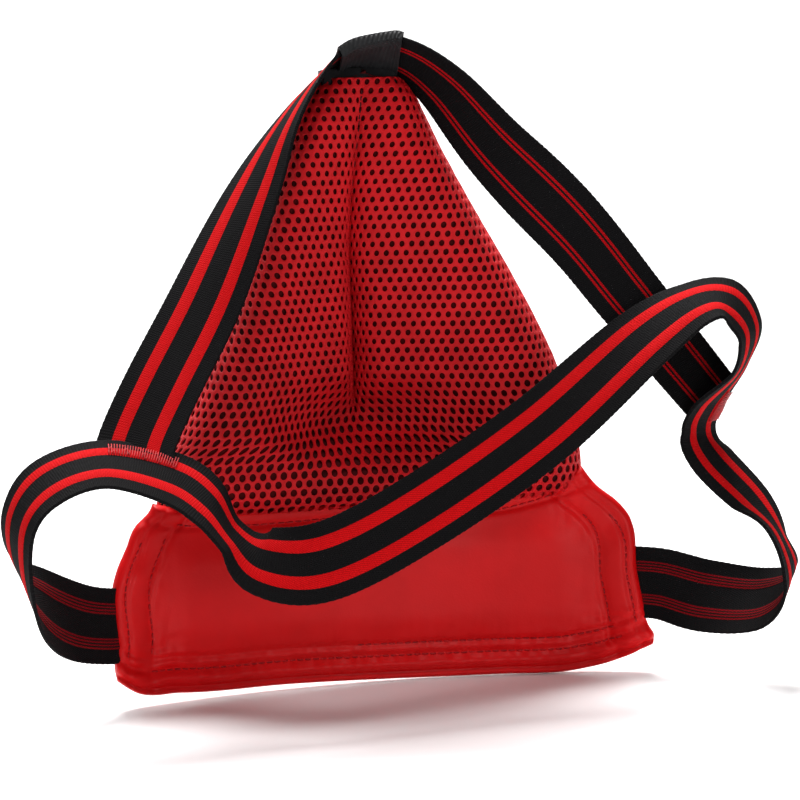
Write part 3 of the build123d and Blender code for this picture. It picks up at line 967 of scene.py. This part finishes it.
def make_strap(name, stations, nodes, inner_face):
    """A strap through its stations, with its own inner face, and its frames."""
    s, centres, along, across, outward = strap_frames(stations, 0.0011)
    vertices, coords = [], []
    for i, s_value in enumerate(s):
        places, relief = strap_section(s_value)
        belly = WEB_BELLY * (1 - places ** 2)
        for side in (1, -1):
            for k in range(len(places))[::side]:
                lift = side * (WEB_THICK / 2 + relief[k]) + belly[k]
                vertices.append(centres[i] + across[i] * places[k] * WEB_WIDTH / 2 + outward[i] * lift)
                coords.append((0.5 + places[k] / 2, s_value))
    columns = 2 * len(places)
    faces = grid_faces(len(s), columns, wrap=True)
    last = (len(s) - 1) * columns
    faces.append(tuple(range(columns))[::-1])
    faces.append(tuple(range(last, last + columns)))
    obj = new_mesh(name, vertices, faces, web_outer)
    obj.data.materials.append(inner_face)
    layer = obj.data.uv_layers.new(name="strap")
    half = len(places)
    for polygon in obj.data.polygons:
        columns_used = {v % columns for v in polygon.vertices}
        polygon.material_index = 1 if min(columns_used) >= half - 1 and max(columns_used) >= half else 0
        for loop in polygon.loop_indices:
            layer.data[loop].uv = coords[obj.data.loops[loop].vertex_index]
    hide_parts(*nodes)
    return obj, (s, centres, along, across, outward)


def on_strap(frames, s_value, place, lift):
    """Point on a strap: place runs from -1 to 1 across, lift is above its outer face."""
    s, centres, _, across, outward = frames
    i = int(np.clip(np.searchsorted(s, s_value), 0, len(s) - 1))
    return centres[i] + across[i] * place * WEB_WIDTH / 2 + outward[i] * (WEB_THICK / 2 + lift)


TACK_PITCH = 0.0006  # of the bartacks' stitches along the strap
KEEPER_HALF_WIDTH = 0.0202
KEEPER_HALF_THICK = 0.0020
KEEPER_WALL = 0.0014


def make_bartack(name, frames, start, length, low, high, nodes):
    """Dense zigzag stitching across a band of the strap's outer face."""
    parts = []
    for k in range(int(length / TACK_PITCH)):
        a = start + k * TACK_PITCH
        b = a + TACK_PITCH / 2
        jitter = 0.012 * (rng.random() - 0.5)
        path = [on_strap(frames, a + (b - a) * f, low + (high - low) * f + jitter,
                         0.0009 + 0.0005 * math.sin(math.pi * f)) for f in np.linspace(0, 1, 7)]
        parts.append(tube(path, 0.00032, 6))
    make_stitches(name, parts, "waist", nodes, red_thread)


def keeper_profile(count):
    """Flat rounded loop: across, outward and angle of each point."""
    profile = []
    for turn in np.linspace(0, 2 * math.pi, count, endpoint=False):
        c, q = math.cos(turn), math.sin(turn)
        px = KEEPER_HALF_WIDTH * math.copysign(abs(c) ** 0.22, c)
        py = KEEPER_HALF_THICK * math.copysign(abs(q) ** 0.22, q)
        profile.append((px, py, turn))
    return profile


def keeper_faces(sections, count):
    """Outer wall, inner wall and both rims of the keeper's tube."""
    faces = []
    for i in range(sections - 1):
        base, above = i * 2 * count, (i + 1) * 2 * count
        for k in range(count):
            j = (k + 1) % count
            faces.append((base + k, base + j, above + j, above + k))
            faces.append((base + count + j, base + count + k, above + count + k, above + count + j))
    for base, flip in ((0, False), ((sections - 1) * 2 * count, True)):
        for k in range(count):
            j = (k + 1) % count
            quad = (base + k, base + count + k, base + count + j, base + j)
            faces.append(quad[::-1] if flip else quad)
    return faces


def make_keeper():
    """Ribbed tape folded round the leg strap at the apex."""
    s, centres, _, across, outward = strap_frames(KEEPER, 0.0004)
    profile = keeper_profile(120)
    vertices = []
    for i in range(len(s)):
        for inside in (0, 1):
            for px, py, turn in profile:
                twill = math.cos(2 * math.pi * s[i] / 0.0024 + 3 * math.sin(turn * 8))
                grow = (KEEPER_WALL + 0.0003 * twill) * (1 - inside)
                length = math.hypot(px / KEEPER_HALF_WIDTH, py / KEEPER_HALF_THICK)
                nx, ny = px / KEEPER_HALF_WIDTH / length, py / KEEPER_HALF_THICK / length
                vertices.append(centres[i] + across[i] * (px + nx * grow * 0.7)
                                + outward[i] * (py + ny * grow))
    obj = new_mesh("keeper_tape", vertices, keeper_faces(len(s), len(profile)), black_tape)
    recalculate(obj)
    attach(obj, "cup")
    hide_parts("apex_keeper")


TAB_LEFT = -0.0265
TAB_WIDTH = 0.039


def make_tab():
    """Folded black tape that joins the keeper to the cup's apex, behind the lining's top."""
    columns, rows = 25, 9
    vertices = []
    for back in (0, 1):
        for r in range(rows):
            f = r / (rows - 1)
            for c in range(columns):
                g = c / (columns - 1)
                x = TAB_LEFT + TAB_WIDTH * g
                arch = 0.0055 * (1 - (2 * g - 1) ** 2)
                z = 0.3085 * (1 - f) + (0.3185 + 0.2 * arch) * f + arch * (1 - f)
                y = (-0.0100 + 0.0030 * f) if not back else 0.0030
                vertices.append((x, y + 0.0002 * math.cos(g * 90), z))
    faces = grid_faces(rows, columns) + grid_faces(rows, columns, rows * columns, flip=True)
    faces += border_walls(rows, columns)
    obj = new_mesh("apex_tab_tape", vertices, faces, black_tape)
    recalculate(obj)
    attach(obj, "cup")
    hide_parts("apex_tab", "keeper_stitch")


def make_webbing():
    """Waistband, leg strap and the dense stitching where they meet."""
    band, band_frames = make_strap("waistband_web", WAISTBAND, ["waistband_left", "waistband_right"],
                                   band_inner)
    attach(band, "waist")
    leg, _ = make_strap("leg_strap_web", LEG_STRAP, ["leg_strap"], leg_inner)
    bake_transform(leg)
    band_s, band_centres = band_frames[0], band_frames[1]

    def nearest(point):
        return float(band_s[np.argmin(np.linalg.norm(band_centres - np.array(point) * MM, axis=1))])

    left = nearest((-137, -97, 129))
    make_bartack("bartack_stitches_left", band_frames, left - 0.014, 0.031, 0.30, 0.74, ["bartack_left"])
    right = nearest((165, -44, 142))
    make_bartack("bartack_stitches_right", band_frames, right - 0.010, 0.021, 0.35, 0.95,
                 ["bartack_right"])


# ------------------------------------------------------------------ stage, light, camera
def make_floor():
    """A pale floor that sweeps up into a backdrop."""
    profile = [(-3.0, 0.0), (1.6, 0.0)]
    for k in range(1, 13):
        a = math.radians(90 * k / 12)
        profile.append((1.6 + 0.8 * math.sin(a), 0.8 - 0.8 * math.cos(a)))
    profile.append((2.4, 4.0))
    vertices = [(x, y, z) for y, z in profile for x in (-4.0, 4.0)]
    faces = [(2 * i, 2 * i + 1, 2 * i + 3, 2 * i + 2) for i in range(len(profile) - 1)]
    white = new_material("floor", (0.92, 0.92, 0.92), 0.35)
    floor = new_mesh("floor", vertices, faces, white)
    floor.location.z = -0.0003


def area_light(name, location, target, size, power):
    """A round lamp at a location that faces the target."""
    data = bpy.data.lights.new(name, "AREA")
    data.shape = "DISK"
    data.size = size
    data.energy = power
    light = bpy.data.objects.new(name, data)
    light.location = location
    light.rotation_mode = "QUATERNION"
    light.rotation_quaternion = (Vector(target) - Vector(location)).to_track_quat("-Z", "Y")
    bpy.context.scene.collection.objects.link(light)


def make_light():
    """Even studio light: lamps above the back and the front, a low one and a backdrop wash."""
    world = bpy.data.worlds.new("studio")
    world.use_nodes = True
    world.node_tree.nodes["Background"].inputs["Color"].default_value = (1, 1, 1, 1)
    world.node_tree.nodes["Background"].inputs["Strength"].default_value = 0.24
    bpy.context.scene.world = world
    area_light("back_top", (0.1, 0.65, 1.7), (0, 0.0, 0.0), 1.0, 50)
    area_light("low_front", (0.25, -1.5, 0.22), (0, 0, 0.10), 0.4, 4)
    area_light("top_front", (-0.35, -0.75, 1.6), (0, 0, 0.12), 0.7, 10)
    area_light("backdrop_wash", (0, 1.0, 2.2), (0, 1.9, 0.2), 1.6, 50)
    bpy.context.scene.view_settings.view_transform = "Standard"


def make_camera():
    """A long lens a little left of the front, slightly above and slightly rolled."""
    azimuth, elevation, roll = map(math.radians, (-12.0, 5.0, 1.7))
    distance, target = 1.25, Vector((0.0065, -0.020, 0.1497))
    back = Vector((math.sin(azimuth) * math.cos(elevation),
                   -math.cos(azimuth) * math.cos(elevation), math.sin(elevation)))
    data = bpy.data.cameras.new("camera")
    data.lens = 110.0
    data.sensor_width = 36.0
    camera = bpy.data.objects.new("camera", data)
    camera.rotation_mode = "QUATERNION"
    turn = (-back).to_track_quat("-Z", "Y")
    camera.rotation_quaternion = turn @ Matrix.Rotation(-roll, 3, "Z").to_quaternion()
    camera.location = target + back * distance
    bpy.context.scene.collection.objects.link(camera)
    bpy.context.scene.camera = camera


make_camera()
make_panel()
make_panel_stitches()
make_net()
make_pad()
make_dart()
make_cover()
make_shell()
make_keeper()
make_tab()
make_webbing()
make_floor()
make_light()
